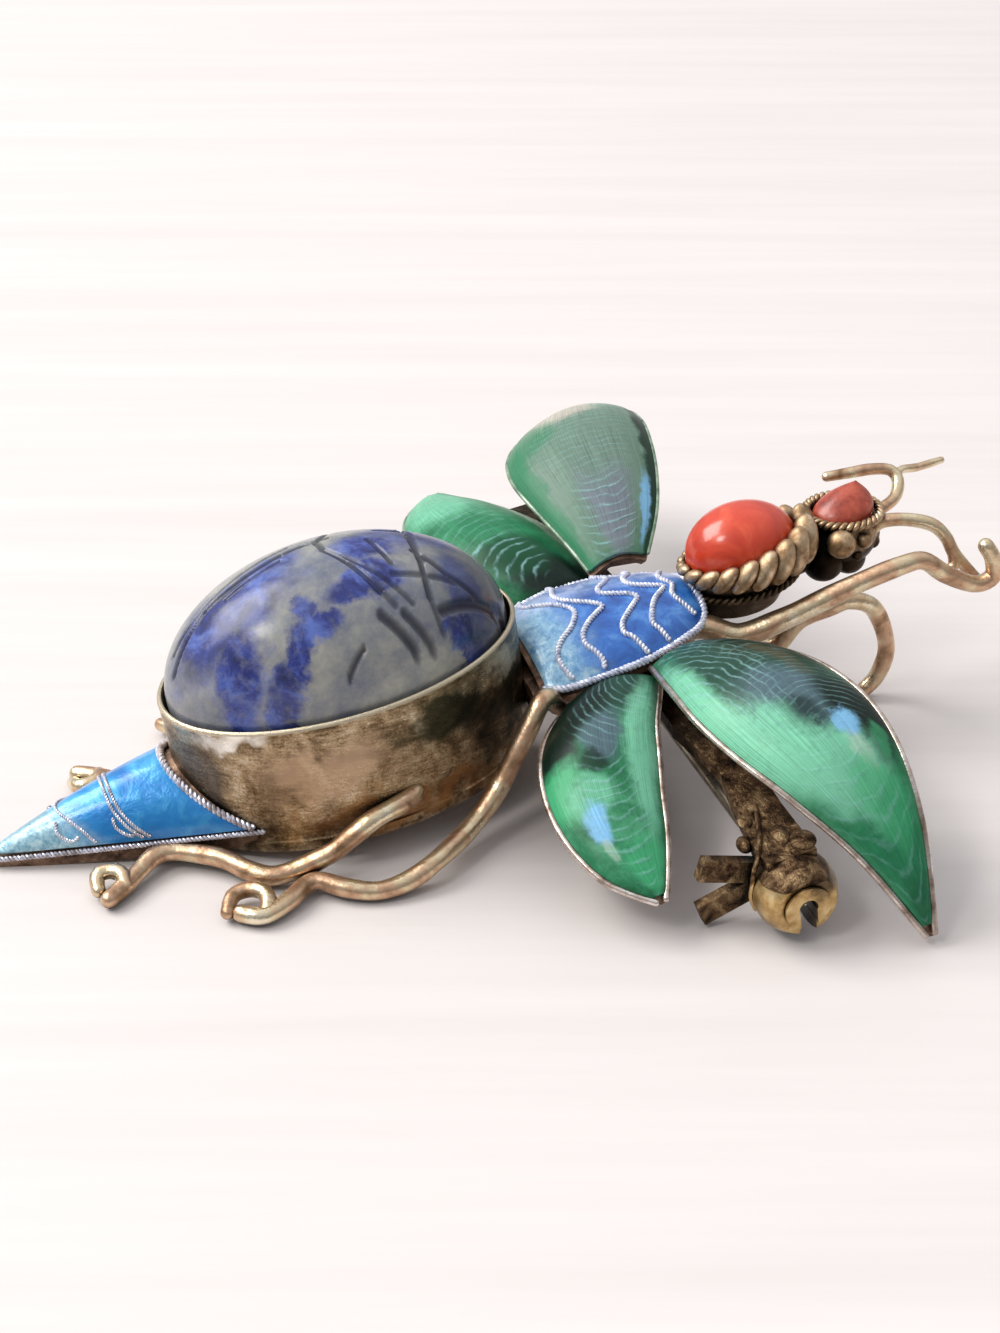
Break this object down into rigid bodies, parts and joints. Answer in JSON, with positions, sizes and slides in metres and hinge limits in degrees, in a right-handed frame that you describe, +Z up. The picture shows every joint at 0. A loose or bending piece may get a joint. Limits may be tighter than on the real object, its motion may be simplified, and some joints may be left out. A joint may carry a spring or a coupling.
{
  "type": "insect brooch",
  "caption": "Brooch in the shape of a beetle-like insect with a domed carved stone body, enamelled wings, bent wire legs and a hinged pin with a turning catch underneath.",
  "frame": {"origin": "middle of the outline's length and span, on the table that the brooch rests on", "axes": "+X towards the insect's head, +Y towards its left wings, +Z up from the table"},
  "size_m": [0.0549, 0.0453, 0.015],
  "materials": {
    "gilt_metal": "aged gilt silver, worn and toned brown",
    "pin_metal": "drawn wire, lightly gilt",
    "blue_stone": "polished",
    "coral": "polished",
    "blue_enamel": "glossy",
    "green_enamel": "glossy"
  },
  "bodies": {
    "brooch": {"soldered_frame": "gilt_metal", "body_stone": "blue_stone", "shoulder_coral": "coral", "head_coral": "coral", "tail_enamel": "blue_enamel", "thorax_enamel": "blue_enamel", "right_forewing_enamel": "green_enamel", "right_hindwing_enamel": "green_enamel", "left_forewing_enamel": "green_enamel", "left_hindwing_enamel": "green_enamel", "pin_bar": "gilt_metal", "hinge_rivet": "pin_metal"},
    "pin": {"pin_stem": "pin_metal"},
    "catch": {"catch_lever": "gilt_metal"}
  },
  "joints": [
    {"name": "pin_swing", "type": "hinge", "parent": "brooch", "child": "pin", "pos_m": [0.00882, 0.01645, 0.00244], "axis": [0.991, 0, 0.134], "range_deg": [0, 60]},
    {"name": "catch_turn", "type": "hinge", "parent": "brooch", "child": "catch", "pos_m": [0.00882, -0.01905, 0.00244], "axis": [0, -1, 0], "range_deg": [0, 90]}
  ]
}
